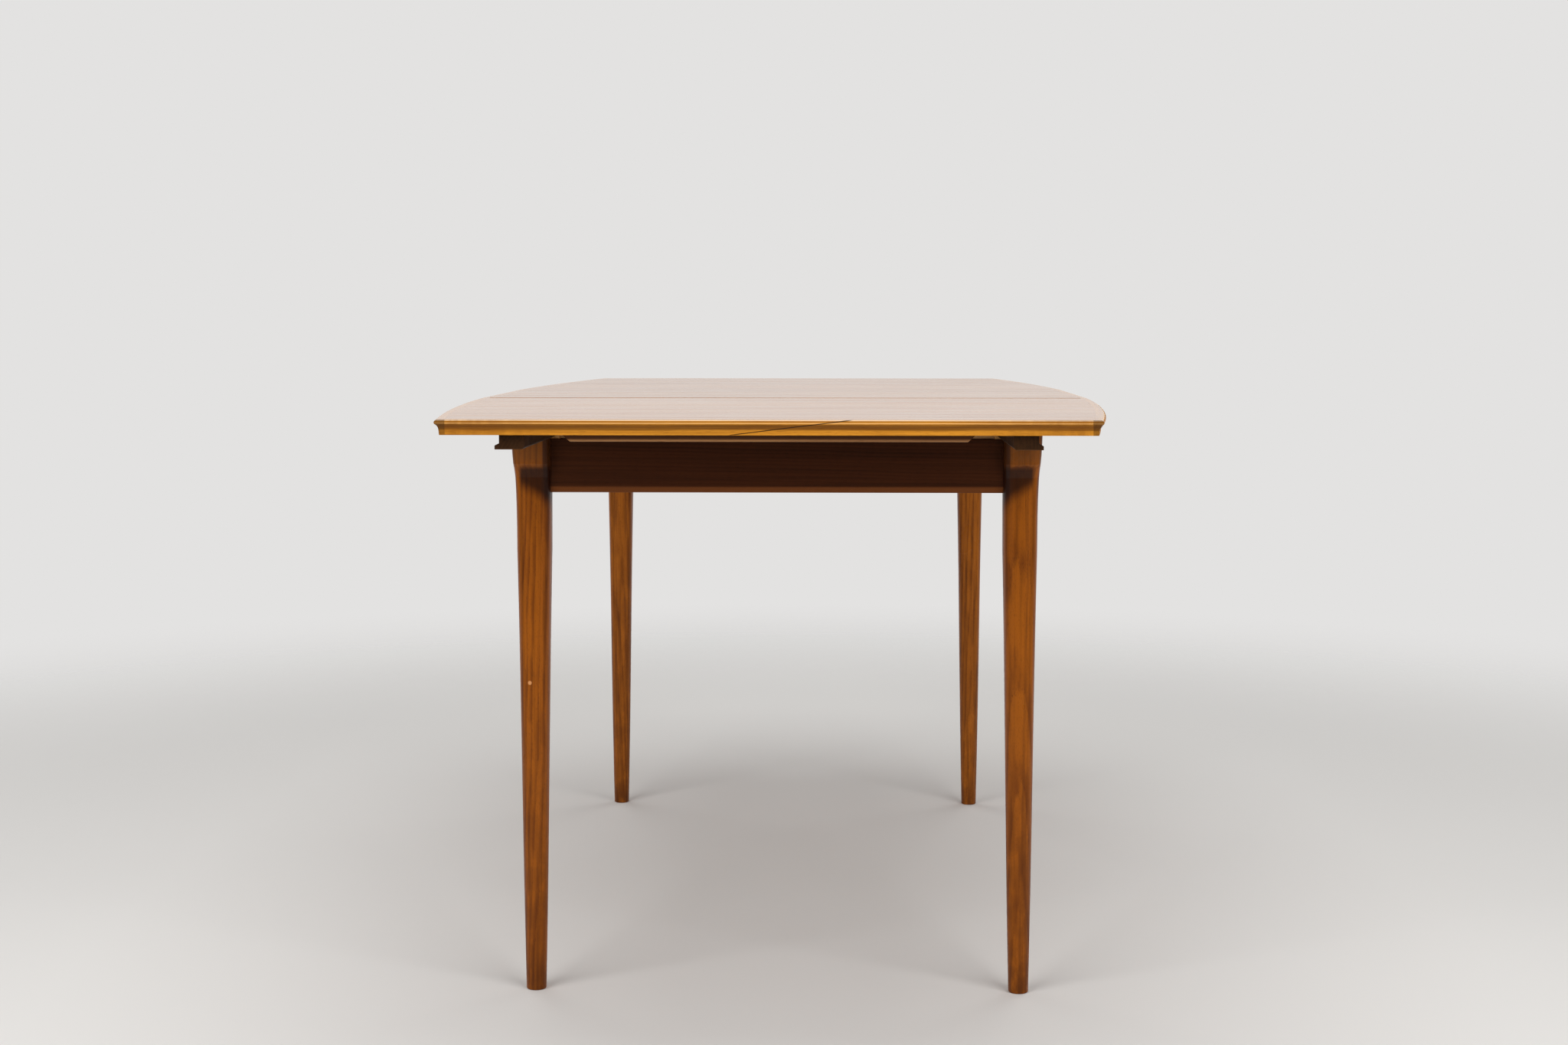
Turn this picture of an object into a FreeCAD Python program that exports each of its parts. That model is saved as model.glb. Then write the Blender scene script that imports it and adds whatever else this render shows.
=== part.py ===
"""Extending dining table, standing open with its loose leaf between the two sliding halves.

Millimetres, +Z up. The origin is on the floor under the middle of the table, and the table's
length lies along Y. The near end is at -Y, and left and right are -X and +X.
"""
import FreeCAD
import Part
import math
import os

Vector = FreeCAD.Vector

# The table as a whole
table_height = 735.0
half_length = 690.0
leaf_length = 370.0
end_width = 738.0
middle_width = 858.0
side_bow = 9.6
top_thickness = 17.3
pull_out_travel = 45.0

# Clearances
slide_gap = 0.3
side_play = 0.8
glue_gap = 0.1
peg_fit = 0.05
cut_overrun = 40.0

# Build-up of the top boards
veneer_thickness = 0.8
lipping_width = 12.0
joint_lipping_width = 8.0
joint_arris = 0.4
scarf_bottom_offset = -43.0
scarf_run = 136.0

# Moulding worked along the outer edges of the top
arris_inset = 3.0
arris_drop = 3.0
arris_swell_depth = 0.5
nose_height = 1.7
nose_return = 0.5
cove_inset = 5.3
cove_height = 7.6
cove_hollow_depth = 1.3
foot_return = 0.5

# Legs, turned at the foot and squared towards the head, which flares outwards and steps forwards
leg_overhang = 65.0
leg_spacing_along = 1080.0
foot_diameter = 25.0
foot_round = 1.6
foot_steps = 4
shin_height_share = 0.52
shin_diameter = 34.6
calf_height_share = 0.77
calf_diameter = 38.4
knee_drop = 161.0
knee_diameter = 43.0
collar_drop = 126.0
collar_flare = 0.2
collar_front = 0.1
throat_drop = 97.0
throat_flare = 0.7
throat_front = 0.4
chin_drop = 68.5
chin_flare = 1.7
chin_front = 1.2
jaw_drop = 62.5
jaw_flare = 2.0
jaw_front = 2.8
cheek_drop = 56.5
cheek_flare = 2.4
cheek_front = 5.6
brow_drop = 51.0
brow_flare = 2.9
brow_front = 8.8
temple_drop = 34.0
temple_flare = 4.2
temple_front = 9.0
head_drop = 17.0
head_flare = 5.0
head_front = 9.2
crown_flare = 5.5
crown_front = 9.3
round_power = 2.0
shin_power = 2.2
calf_power = 2.6
knee_power = 3.0
collar_power = 3.2
throat_power = 3.4
chin_power = 3.8
jaw_power = 4.2
cheek_power = 4.6
brow_power = 5.0
head_power = 5.6
section_points = 40

# Rails of the underframe
rail_thickness = 20.0
end_rail_height = 67.4
rail_bevel_height = 7.5
rail_bevel_depth = 4.0
side_rail_offset = 1.5
side_rail_thickness = 18.0
rail_arris = 1.5
tenon_thickness = 9.0
tenon_shoulder = 9.0
end_tenon_length = 18.0
side_tenon_length = 22.0
cross_rail_thickness = 20.0
cross_rail_height = 50.0
cross_tenon_length = 6.0
glide_height = 4.0
glide_length = 16.0
glide_width = 11.0
guide_strip_drop = 0.5

# Corner blocks of the underframe
block_reach = 46.0
block_height = 48.0
block_clearance = 1.0
block_screw_inset = 14.0
block_screw_length = 18.0
block_screw_sink = 6.0

# Runners under each sliding half
runner_width = 28.0
runner_depth = 16.8
runner_end_setback = 20.0
runner_joint_setback = 20.0
runner_bevel = 2.5
flange_width = 5.0
flange_height = 4.5
flange_slope = 2.5
runner_screw_count = 5
runner_screw_end = 45.0

# Stop pegs that end the outward travel
peg_diameter = 10.0
peg_drop = 12.0
peg_cover = 2.0
peg_round = 1.0
peg_end_distance = 35.0

# Battens under the top boards
batten_runner_distance = 50.0
batten_end_slope = 9.0
batten_width = 58.0
batten_thickness = 8.5
batten_setback = 28.0
batten_bevel = 2.2
batten_screw_inset = 41.0
batten_screw_count = 3
leaf_batten_setback = 49.0
leaf_batten_width = 42.0
leaf_batten_thickness = 20.0
leaf_batten_arris = 1.5

# Countersunk wood screws
screw_head_diameter = 7.6
screw_head_height = 2.8
screw_shank_diameter = 3.8
screw_slot_width = 0.9
screw_slot_depth = 1.0
screw_bite_length = 8.5
screw_fit = 0.05

# Places that follow from the sizes above
underside = table_height - top_thickness
joint_y = leaf_length / 2
end_y = joint_y + half_length
half_end = end_width / 2
half_middle = middle_width / 2
leg_x = half_end - leg_overhang
leg_y = leg_spacing_along / 2
head_half = knee_diameter / 2
leg_inner_x = leg_x - head_half
leg_inner_y = leg_y - head_half
side_rail_in = leg_x + side_rail_offset
side_rail_out = side_rail_in + side_rail_thickness
flange_out = side_rail_in - side_play
runner_out = flange_out - flange_width
runner_in = runner_out - runner_width
runner_bottom = underside - runner_depth
bearer_top = runner_bottom - slide_gap
rail_top = underside - slide_gap
knee_height = rail_top - knee_drop
end_rail_top = bearer_top - glide_height
rail_bottom = end_rail_top - end_rail_height
end_rail_in = leg_y - rail_thickness / 2
end_rail_out = leg_y + rail_thickness / 2
strip_in = runner_out + side_play
strip_bottom = runner_bottom + flange_height + flange_slope + guide_strip_drop
runner_near_y = end_y - runner_end_setback
runner_inner_y = joint_y + runner_joint_setback
peg_x = runner_in + runner_width / 2
peg_y = runner_inner_y + peg_end_distance
cross_rail_in = peg_y + peg_diameter / 2 + pull_out_travel + slide_gap
batten_half_length = runner_in - batten_runner_distance
leaf_batten_y = joint_y - leaf_batten_setback - leaf_batten_width / 2

# The curved side of a half is one arc from its end corner to the joint
side_run = half_middle - half_end
side_chord = math.hypot(half_length, side_run)
side_radius = (side_chord ** 2 / 4 + side_bow ** 2) / (2 * side_bow)
side_back = (side_radius - side_bow) / side_chord
arc_x = (half_end + half_middle) / 2 - side_back * half_length
arc_y = side_back * side_run - (end_y + joint_y) / 2


def block(x_low, x_high, y_low, y_high, z_low, z_high):
    """Plain box between two values on each axis."""
    return Part.makeBox(x_high - x_low, y_high - y_low, z_high - z_low, Vector(x_low, y_low, z_low))


def prism(points, lift):
    """Solid swept along the vector lift from a closed outline of straight lines."""
    outline = Part.makePolygon(list(points) + [points[0]])
    return Part.Face(outline).extrude(lift)


def across_x(points, x_low, x_high):
    """Bar along X whose section is given as y, z pairs."""
    return prism([Vector(x_low, y, z) for y, z in points], Vector(x_high - x_low, 0, 0))


def along_y(points, y_low, y_high):
    """Bar along Y whose section is given as x, z pairs."""
    return prism([Vector(x, y_low, z) for x, z in points], Vector(0, y_high - y_low, 0))


def mirror_side(shape):
    """The same piece on the other side of the table."""
    return shape.mirror(Vector(0, 0, 0), Vector(1, 0, 0))


def mirror_end(shape):
    """The same piece at the other end of the table."""
    return shape.mirror(Vector(0, 0, 0), Vector(0, 1, 0))


def ease(shape, radius, wanted):
    """Round the straight edges that the test wanted picks."""
    return shape.makeFillet(radius, [edge for edge in shape.Edges if wanted(edge)])


def edge_centre(edge):
    """Middle of an edge's box."""
    return edge.BoundBox.Center


def edge_direction(edge):
    """Unit vector from an edge's first end to its last."""
    span = edge.Vertexes[-1].Point - edge.Vertexes[0].Point
    return span.normalize()


def runs_along(edge, axis):
    """True for a straight edge that lies along the axis."""
    return len(edge.Vertexes) == 2 and abs(edge_direction(edge).dot(axis)) > math.cos(math.radians(1))


def moulded_outline(face_x, direction, back_x):
    """Section of a top board in the XZ plane, moulded on one edge and square on the other.

    The moulded edge's nose is at face_x, direction points from it into the board, and the
    board ends squarely at back_x.
    """
    def at(inset, drop):
        return Vector(face_x + direction * inset, 0, table_height - drop)

    nose_bottom = arris_drop + nose_height
    cove_bottom = nose_bottom + cove_height
    cove_run = math.hypot(cove_inset - nose_return, cove_height)
    hollow_in = cove_hollow_depth * cove_height / cove_run
    hollow_up = cove_hollow_depth * (cove_inset - nose_return) / cove_run
    arris_run = math.hypot(arris_inset, arris_drop)
    swell_out = arris_swell_depth * arris_drop / arris_run
    swell_up = arris_swell_depth * arris_inset / arris_run
    top_edge = at(arris_inset, 0)
    arris_middle = at(arris_inset / 2 - swell_out, arris_drop / 2 - swell_up)
    nose_top = at(0, arris_drop)
    nose_foot = at(nose_return, nose_bottom)
    cove_middle = at((nose_return + cove_inset) / 2 + hollow_in, nose_bottom + cove_height / 2 - hollow_up)
    cove_foot = at(cove_inset, cove_bottom)
    low_edge = at(cove_inset + foot_return, top_thickness)
    back_low = Vector(back_x, 0, underside)
    back_top = Vector(back_x, 0, table_height)
    edges = [
        Part.Arc(top_edge, arris_middle, nose_top).toShape(),
        Part.LineSegment(nose_top, nose_foot).toShape(),
        Part.Arc(nose_foot, cove_middle, cove_foot).toShape(),
        Part.LineSegment(cove_foot, low_edge).toShape(),
        Part.LineSegment(low_edge, back_low).toShape(),
        Part.LineSegment(back_low, back_top).toShape(),
        Part.LineSegment(back_top, top_edge).toShape(),
    ]
    return Part.Face(Part.Wire(edges))


def side_sweep(section):
    """Turn a section about the upright axis of the right-hand side's arc, past both its ends."""
    start = math.atan2(-end_y - cut_overrun - arc_y, -half_middle - arc_x)
    finish = math.atan2(-joint_y + cut_overrun - arc_y, half_middle - arc_x)
    placed = section.copy()
    placed.rotate(Vector(0, 0, 0), Vector(0, 0, 1), math.degrees(start))
    swept = placed.revolve(Vector(0, 0, 0), Vector(0, 0, 1), math.degrees(finish - start))
    swept.translate(Vector(arc_x, arc_y, 0))
    return swept


def ring_section(outer, inner):
    """Upright rectangle between two distances from the arc's axis, as high as the top board."""
    face = Part.makePolygon([
        Vector(inner, 0, underside - cut_overrun),
        Vector(outer, 0, underside - cut_overrun),
        Vector(outer, 0, table_height + cut_overrun),
        Vector(inner, 0, table_height + cut_overrun),
        Vector(inner, 0, underside - cut_overrun),
    ])
    return Part.Face(face)


def half_slab():
    """One half's full thickness with the moulding on its end and both its curved sides."""
    reach = side_radius - middle_width
    right = side_sweep(moulded_outline(side_radius, -1, reach))
    left = mirror_side(right)
    end_face = moulded_outline(end_y, -1, joint_y)
    end_face.rotate(Vector(0, 0, 0), Vector(0, 0, 1), -90)
    end_face.translate(Vector(-middle_width, 0, 0))
    end_bar = end_face.extrude(Vector(2 * middle_width, 0, 0))
    joint_corner = across_x(
        [
            (-joint_y - joint_arris, table_height + cut_overrun),
            (-joint_y - joint_arris, table_height),
            (-joint_y, table_height - joint_arris),
            (-joint_y + cut_overrun, table_height - joint_arris),
            (-joint_y + cut_overrun, table_height + cut_overrun),
        ],
        -middle_width,
        middle_width,
    )
    return right.common(left).common(end_bar).cut(joint_corner)


def half_board():
    """Pieces of the near half's board: core, veneers and lippings."""
    slab = half_slab()
    band = side_sweep(ring_section(side_radius + cut_overrun, side_radius - lipping_width))
    bands = {"right": band, "left": mirror_side(band)}
    panel = slab.cut(bands["right"]).cut(bands["left"])
    end_inner = -end_y + lipping_width
    joint_inner = -joint_y - joint_lipping_width
    core_low = underside + veneer_thickness
    core_high = table_height - veneer_thickness

    def slice_of(y_low, y_high, z_low, z_high):
        return panel.common(block(-middle_width, middle_width, y_low, y_high, z_low, z_high))

    pieces = {
        "face_veneer": slice_of(end_inner, -joint_y, core_high, table_height),
        "backing_veneer": slice_of(end_inner, -joint_y, underside, core_low),
        "core": slice_of(end_inner, joint_inner, core_low, core_high),
        "joint_lipping": slice_of(joint_inner, -joint_y, core_low, core_high),
        "end_lipping": slice_of(-end_y - cut_overrun, end_inner, underside, table_height),
    }
    for side, region in bands.items():
        pieces["side_lipping_" + side] = slab.common(region)
    return pieces


def scarfed(end_lipping):
    """Cut an end lipping into two lengths that meet in a long sloping glue joint."""
    scarf_slope = scarf_run / top_thickness
    low = underside - cut_overrun
    high = table_height + cut_overrun
    foot = scarf_bottom_offset - cut_overrun * scarf_slope
    head = scarf_bottom_offset + (top_thickness + cut_overrun) * scarf_slope
    half_gap = glue_gap * math.hypot(1, scarf_slope) / 2

    def one_length(side, shift):
        outline = [
            Vector(foot + shift, -end_y - cut_overrun, low),
            Vector(head + shift, -end_y - cut_overrun, high),
            Vector(side * side_radius, -end_y - cut_overrun, high),
            Vector(side * side_radius, -end_y - cut_overrun, low),
        ]
        return end_lipping.common(prism(outline, Vector(0, lipping_width + 2 * cut_overrun, 0)))

    return one_length(-1, -half_gap), one_length(1, half_gap)


def leaf_board():
    """Pieces of the loose leaf's board: core, veneers and lippings."""
    half = joint_y - slide_gap
    core_low = underside + veneer_thickness
    core_high = table_height - veneer_thickness
    lip_x = half_middle - lipping_width
    core_y = half - joint_lipping_width
    edge_face = moulded_outline(half_middle, -1, lip_x)
    edge_face.translate(Vector(0, -half, 0))
    right_lip = edge_face.extrude(Vector(0, 2 * half, 0))
    slopes = [
        (-half, table_height - joint_arris),
        (-half + joint_arris, table_height),
        (half - joint_arris, table_height),
        (half, table_height - joint_arris),
        (half, underside),
        (-half, underside),
    ]
    eased_bar = across_x(slopes, -middle_width, middle_width)
    veneer = block(-lip_x, lip_x, -half, half, core_high, table_height)
    right_lip = right_lip.common(eased_bar)
    return {
        "face_veneer": veneer.common(eased_bar),
        "backing_veneer": block(-lip_x, lip_x, -half, half, underside, core_low),
        "core": block(-lip_x, lip_x, -core_y, core_y, core_low, core_high),
        "joint_lipping_near": block(-lip_x, lip_x, -half, -core_y, core_low, core_high),
        "joint_lipping_far": block(-lip_x, lip_x, core_y, half, core_low, core_high),
        "side_lipping_right": right_lip,
        "side_lipping_left": mirror_side(right_lip),
    }


def screw(head_centre, direction, length):
    """Countersunk slotted screw whose head's flat face is at head_centre, driven along direction."""
    body = screw_blank(length, 0)
    slot = block(
        -screw_head_diameter, screw_head_diameter,
        -screw_slot_width / 2, screw_slot_width / 2,
        -screw_slot_depth, screw_slot_depth,
    )
    return aimed(body.cut(slot), head_centre, direction)


def screw_hole(head_centre, direction, length):
    """The hole that a screw fills, with the head's recess open to the surface."""
    hole = screw_blank(length, screw_fit)
    mouth = Part.makeCylinder(
        screw_head_diameter / 2 + screw_fit, screw_slot_depth, Vector(0, 0, -screw_slot_depth))
    return aimed(hole.fuse(mouth), head_centre, direction)


def screw_blank(length, extra):
    """Head cone and shank along +Z from the origin, larger all round by extra."""
    shank_radius = screw_shank_diameter / 2 + extra
    head = Part.makeCone(screw_head_diameter / 2 + extra, shank_radius, screw_head_height)
    shank = Part.makeCylinder(shank_radius, length + extra)
    return head.fuse(shank)


def aimed(shape, place, direction):
    """Turn a shape's +Z to direction and carry its origin to place."""
    shape.Placement = FreeCAD.Placement(place, FreeCAD.Rotation(Vector(0, 0, 1), direction))
    return shape


def leg_section(height, radius, flare, front, power):
    """Closed curve of one leg section.

    The two inner sides stay at radius from the leg's axis, the outer side stands out by flare
    more and the end side by front more, and power goes from 2 for a circle to larger values
    for a squarer shape.
    """
    wide = radius + flare / 2
    deep = radius + front / 2
    centre = Vector(leg_x + flare / 2, -leg_y - front / 2, height)
    points = []
    for step in range(section_points):
        angle = 2 * math.pi * step / section_points
        spread = abs(math.cos(angle)) ** power + abs(math.sin(angle)) ** power
        share = 1 / spread ** (1 / power)
        points.append(centre + Vector(wide * share * math.cos(angle), deep * share * math.sin(angle), 0))
    curve = Part.BSplineCurve()
    curve.interpolate(points, PeriodicFlag=True)
    return Part.Wire(curve.toShape())


def leg_blank():
    """The near right leg before its mortises and runner notch are cut."""
    foot_edge = []
    for step in range(foot_steps + 1):
        turn = math.pi / 2 * step / foot_steps
        foot_edge.append(leg_section(
            foot_round * (1 - math.cos(turn)),
            foot_diameter / 2 - foot_round * (1 - math.sin(turn)),
            0,
            0,
            round_power,
        ))
    knee = leg_section(knee_height, head_half, 0, 0, knee_power)
    taper = [
        foot_edge[-1],
        leg_section(knee_height * shin_height_share, shin_diameter / 2, 0, 0, shin_power),
        leg_section(knee_height * calf_height_share, calf_diameter / 2, 0, 0, calf_power),
        knee,
    ]
    neck = [
        knee,
        leg_section(rail_top - collar_drop, head_half, collar_flare, collar_front, collar_power),
        leg_section(rail_top - throat_drop, head_half, throat_flare, throat_front, throat_power),
        leg_section(rail_top - chin_drop, head_half, chin_flare, chin_front, chin_power),
    ]
    hollow = [
        neck[-1],
        leg_section(rail_top - jaw_drop, head_half, jaw_flare, jaw_front, jaw_power),
        leg_section(rail_top - cheek_drop, head_half, cheek_flare, cheek_front, cheek_power),
        leg_section(rail_top - brow_drop, head_half, brow_flare, brow_front, brow_power),
    ]
    head = [
        hollow[-1],
        leg_section(rail_top - temple_drop, head_half, temple_flare, temple_front, head_power),
        leg_section(rail_top - head_drop, head_half, head_flare, head_front, head_power),
        leg_section(rail_top, head_half, crown_flare, crown_front, head_power),
    ]
    lofts = [Part.makeLoft(sections, True, False) for sections in (foot_edge, taper, neck, hollow, head)]
    return lofts[0].fuse(lofts[1:]).removeSplitter()


def leg_notch():
    """Space cut from the near right leg's head so that the runner slides past."""
    return block(
        leg_inner_x - cut_overrun, side_rail_in, -leg_y - cut_overrun, -leg_y + cut_overrun,
        bearer_top, rail_top + cut_overrun,
    )


def end_tenon():
    """Tenon of the near end rail in the near right leg."""
    return block(
        leg_inner_x - tenon_shoulder, leg_inner_x + end_tenon_length,
        -leg_y - tenon_thickness / 2, -leg_y + tenon_thickness / 2,
        rail_bottom + tenon_shoulder, end_rail_top - tenon_shoulder,
    )


def side_tenon():
    """Tenon of the right side rail in the near right leg."""
    middle = (side_rail_in + side_rail_out) / 2
    return block(
        middle - tenon_thickness / 2, middle + tenon_thickness / 2,
        -leg_inner_y - side_tenon_length, -leg_inner_y + tenon_shoulder,
        rail_bottom + tenon_shoulder, end_rail_top - tenon_shoulder,
    )


def end_rail(near_legs):
    """Near end rail, bevelled along its lower front edge, with a tenon at each end."""
    section = [
        (-end_rail_out, end_rail_top),
        (-end_rail_out, rail_bottom + rail_bevel_height),
        (-end_rail_out + rail_bevel_depth, rail_bottom),
        (-end_rail_in, rail_bottom),
        (-end_rail_in, end_rail_top),
    ]
    bar = across_x(section, -leg_x, leg_x)
    for leg in near_legs:
        bar = bar.cut(leg)
    tenon = end_tenon()
    return bar.fuse([tenon, mirror_side(tenon)]).removeSplitter()


def side_rail(right_legs, mortises):
    """Right side rail, as high as the legs, with a tenon at each end and cross rail mortises."""
    bar = block(side_rail_in, side_rail_out, -leg_y, leg_y, rail_bottom, rail_top)
    bar = ease(bar, rail_arris, lambda edge: runs_along(edge, Vector(0, 1, 0))
               and edge_centre(edge).z < rail_bottom + rail_arris)
    for leg in right_legs:
        bar = bar.cut(leg)
    tenon = side_tenon()
    bar = bar.fuse([tenon, mirror_end(tenon)]).removeSplitter()
    return bar.cut(mortises)


def cross_rail():
    """Cross rail under the near half, let into both side rails. Its inner face stops the pegs."""
    reach = side_rail_in + cross_tenon_length
    return block(
        -reach, reach, -cross_rail_in - cross_rail_thickness, -cross_rail_in,
        bearer_top - cross_rail_height, bearer_top,
    )


def corner_outline(low, height):
    """Near right corner block, filling the corner behind the leg."""
    gap = block_clearance
    points = [
        Vector(leg_inner_x - block_reach, -end_rail_in, low),
        Vector(leg_inner_x - gap, -end_rail_in, low),
        Vector(leg_inner_x - gap, -leg_inner_y + gap, low),
        Vector(side_rail_in, -leg_inner_y + gap, low),
        Vector(side_rail_in, -leg_inner_y + block_reach, low),
    ]
    return prism(points, Vector(0, 0, height))


def corner_screw_places():
    """Head centre and direction of each screw of the near right corner block."""
    height = (rail_bottom + end_rail_top) / 2
    to_end = Vector(
        leg_inner_x - block_reach + block_screw_inset, -end_rail_in + block_screw_sink, height)
    to_side = Vector(
        side_rail_in - block_screw_sink, -leg_inner_y + block_reach - block_screw_inset, height)
    return [(to_end, Vector(0, -1, 0)), (to_side, Vector(1, 0, 0))]


def runner():
    """Near right runner, with its bearing flange along the lower outer edge."""
    section = [
        (runner_in, underside),
        (runner_in, runner_bottom + runner_bevel),
        (runner_in + runner_bevel, runner_bottom),
        (flange_out, runner_bottom),
        (flange_out, runner_bottom + flange_height),
        (runner_out, runner_bottom + flange_height + flange_slope),
        (runner_out, underside),
    ]
    return along_y(section, -runner_near_y, -runner_inner_y)


def runner_screw_places():
    """Head centres of the near right runner's screws, evenly spread along it."""
    first = -runner_near_y + runner_screw_end
    last = -peg_y - runner_screw_end
    step = (last - first) / (runner_screw_count - 1)
    return [Vector(peg_x, first + step * number, runner_bottom) for number in range(runner_screw_count)]


def stop_peg():
    """Near right stop peg, glued up into the runner and hanging below it."""
    low = runner_bottom - peg_drop
    peg = Part.makeCylinder(
        peg_diameter / 2, underside - peg_cover - low, Vector(peg_x, -peg_y, low))
    lowest = [edge for edge in peg.Edges if edge.BoundBox.ZMax < runner_bottom - peg_drop / 2]
    return peg.makeFillet(peg_round, lowest)


def peg_hole():
    """Hole of the near right stop peg in its runner."""
    low = runner_bottom - cut_overrun
    return Part.makeCylinder(
        peg_diameter / 2 + peg_fit, underside - peg_cover - low, Vector(peg_x, -peg_y, low))


def guide_strip():
    """Right guide strip, which keeps the runner flanges down."""
    reach = leg_inner_y - block_clearance
    return block(strip_in, side_rail_in, -reach, reach, strip_bottom, rail_top)


def runner_glide():
    """Near right glide block, on the end rail under the runner."""
    return block(
        leg_inner_x - glide_width, leg_inner_x, -leg_y - glide_length / 2, -leg_y + glide_length / 2,
        end_rail_top, bearer_top,
    )


def half_batten(y_low):
    """Batten across a half's underside, with sloping ends and a bevelled lower edge each side."""
    y_high = y_low + batten_width
    low = underside - batten_thickness
    wide = batten_half_length + batten_end_slope
    front = prism(
        [
            Vector(-wide, y_low, underside),
            Vector(wide, y_low, underside),
            Vector(batten_half_length, y_low, low),
            Vector(-batten_half_length, y_low, low),
        ],
        Vector(0, batten_width, 0),
    )
    section = [
        (y_low, underside),
        (y_low, low + batten_bevel),
        (y_low + batten_bevel, low),
        (y_high - batten_bevel, low),
        (y_high, low + batten_bevel),
        (y_high, underside),
    ]
    return front.common(across_x(section, -wide, wide))


def batten_screw_places(y_middle, low):
    """Head centres of one batten's screws, in a row across the table."""
    reach = batten_half_length - batten_screw_inset
    step = 2 * reach / (batten_screw_count - 1)
    return [Vector(number * step - reach, y_middle, low) for number in range(batten_screw_count)]


def leaf_batten(y_middle):
    """Batten under the leaf, which fits between the guide strips and keeps the leaf in place."""
    reach = strip_in - side_play
    half = leaf_batten_width / 2
    bar = block(
        -reach, reach, y_middle - half, y_middle + half,
        underside - leaf_batten_thickness, underside,
    )
    return ease(bar, leaf_batten_arris,
                lambda edge: edge.BoundBox.ZMax < underside - leaf_batten_thickness / 2)


def drilled(shape, holes):
    """A piece with a list of holes cut through it."""
    return shape.cut(Part.makeCompound(holes))


def build_underframe():
    """Legs, rails, blocks, strips, glides and their screws."""
    blank = leg_blank()
    tenons = [end_tenon(), side_tenon()]
    near_right = blank.cut(leg_notch()).cut(Part.makeCompound(tenons))
    blanks_near = [blank, mirror_side(blank)]
    blanks_right = [blank, mirror_end(blank)]
    near_cross = cross_rail()
    cross_rails = {"near": near_cross, "far": mirror_end(near_cross)}
    plain_block = corner_outline(rail_bottom + tenon_shoulder, block_height)
    places = corner_screw_places()
    screws = [screw(place, way, block_screw_length) for place, way in places]
    holes = [screw_hole(place, way, block_screw_length) for place, way in places]
    wells = [aimed(Part.makeCylinder(screw_head_diameter / 2 + screw_fit, cut_overrun), place, -way)
             for place, way in places]
    near_block = drilled(plain_block, holes + wells)
    holes_all = holes + [mirror_side(hole) for hole in holes]
    holes_all += [mirror_end(hole) for hole in holes_all]
    near_rail = drilled(end_rail(blanks_near), holes_all)
    right_rail = drilled(
        side_rail(blanks_right, Part.makeCompound(list(cross_rails.values()))), holes_all)
    glide = runner_glide()
    strip = guide_strip()
    parts = {
        "leg_near_right": near_right,
        "corner_block_near_right": near_block,
        "runner_glide_near_right": glide,
    }
    for name in list(parts):
        parts[name.replace("right", "left")] = mirror_side(parts[name])
    for name in list(parts):
        parts[name.replace("near", "far")] = mirror_end(parts[name])
    parts["end_rail_near"] = near_rail
    parts["end_rail_far"] = mirror_end(near_rail)
    parts["side_rail_right"] = right_rail
    parts["side_rail_left"] = mirror_side(right_rail)
    parts["guide_strip_right"] = strip
    parts["guide_strip_left"] = mirror_side(strip)
    for end, rail in cross_rails.items():
        parts["cross_rail_" + end] = rail
    pairs = screws + [mirror_side(one) for one in screws]
    parts["corner_block_screws"] = Part.makeCompound(pairs + [mirror_end(one) for one in pairs])
    return parts


def build_half(end):
    """One sliding half: its board, two runners, two battens and their screws and pegs."""
    board = half_board()
    end_batten_y = -end_y + batten_setback
    inner_batten_y = -joint_y - batten_setback - batten_width
    battens = {"end_batten": half_batten(end_batten_y), "inner_batten": half_batten(inner_batten_y)}
    batten_low = underside - batten_thickness
    batten_spots = []
    for y_low in (end_batten_y, inner_batten_y):
        batten_spots += batten_screw_places(y_low + batten_width / 2, batten_low)
    up = Vector(0, 0, 1)
    batten_screw_length = batten_thickness + screw_bite_length
    runner_screw_length = runner_depth + screw_bite_length
    batten_screws = [screw(spot, up, batten_screw_length) for spot in batten_spots]
    batten_holes = [screw_hole(spot, up, batten_screw_length) for spot in batten_spots]
    runner_spots = runner_screw_places()
    right_screws = [screw(spot, up, runner_screw_length) for spot in runner_spots]
    right_holes = [screw_hole(spot, up, runner_screw_length) for spot in runner_spots]
    runner_holes = right_holes + [mirror_side(hole) for hole in right_holes]
    right_runner = drilled(runner(), right_holes + [peg_hole()])
    right_peg = stop_peg()
    all_holes = batten_holes + runner_holes
    for name in ("core", "backing_veneer"):
        board[name] = drilled(board[name], all_holes)
    parts = dict(board)
    for name, shape in battens.items():
        parts[name] = drilled(shape, batten_holes)
    parts["runner_right"] = right_runner
    parts["runner_left"] = mirror_side(right_runner)
    parts["stop_pegs"] = Part.makeCompound([right_peg, mirror_side(right_peg)])
    parts["batten_screws"] = Part.makeCompound(batten_screws)
    parts["runner_screws"] = Part.makeCompound(right_screws + [mirror_side(one) for one in right_screws])
    if end == "near":
        left, right = scarfed(parts.pop("end_lipping"))
        parts["end_lipping_left"] = left
        parts["end_lipping_right"] = right
        return {"near_" + name: shape for name, shape in parts.items()}
    return {"far_" + name: mirror_end(shape) for name, shape in parts.items()}


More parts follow.
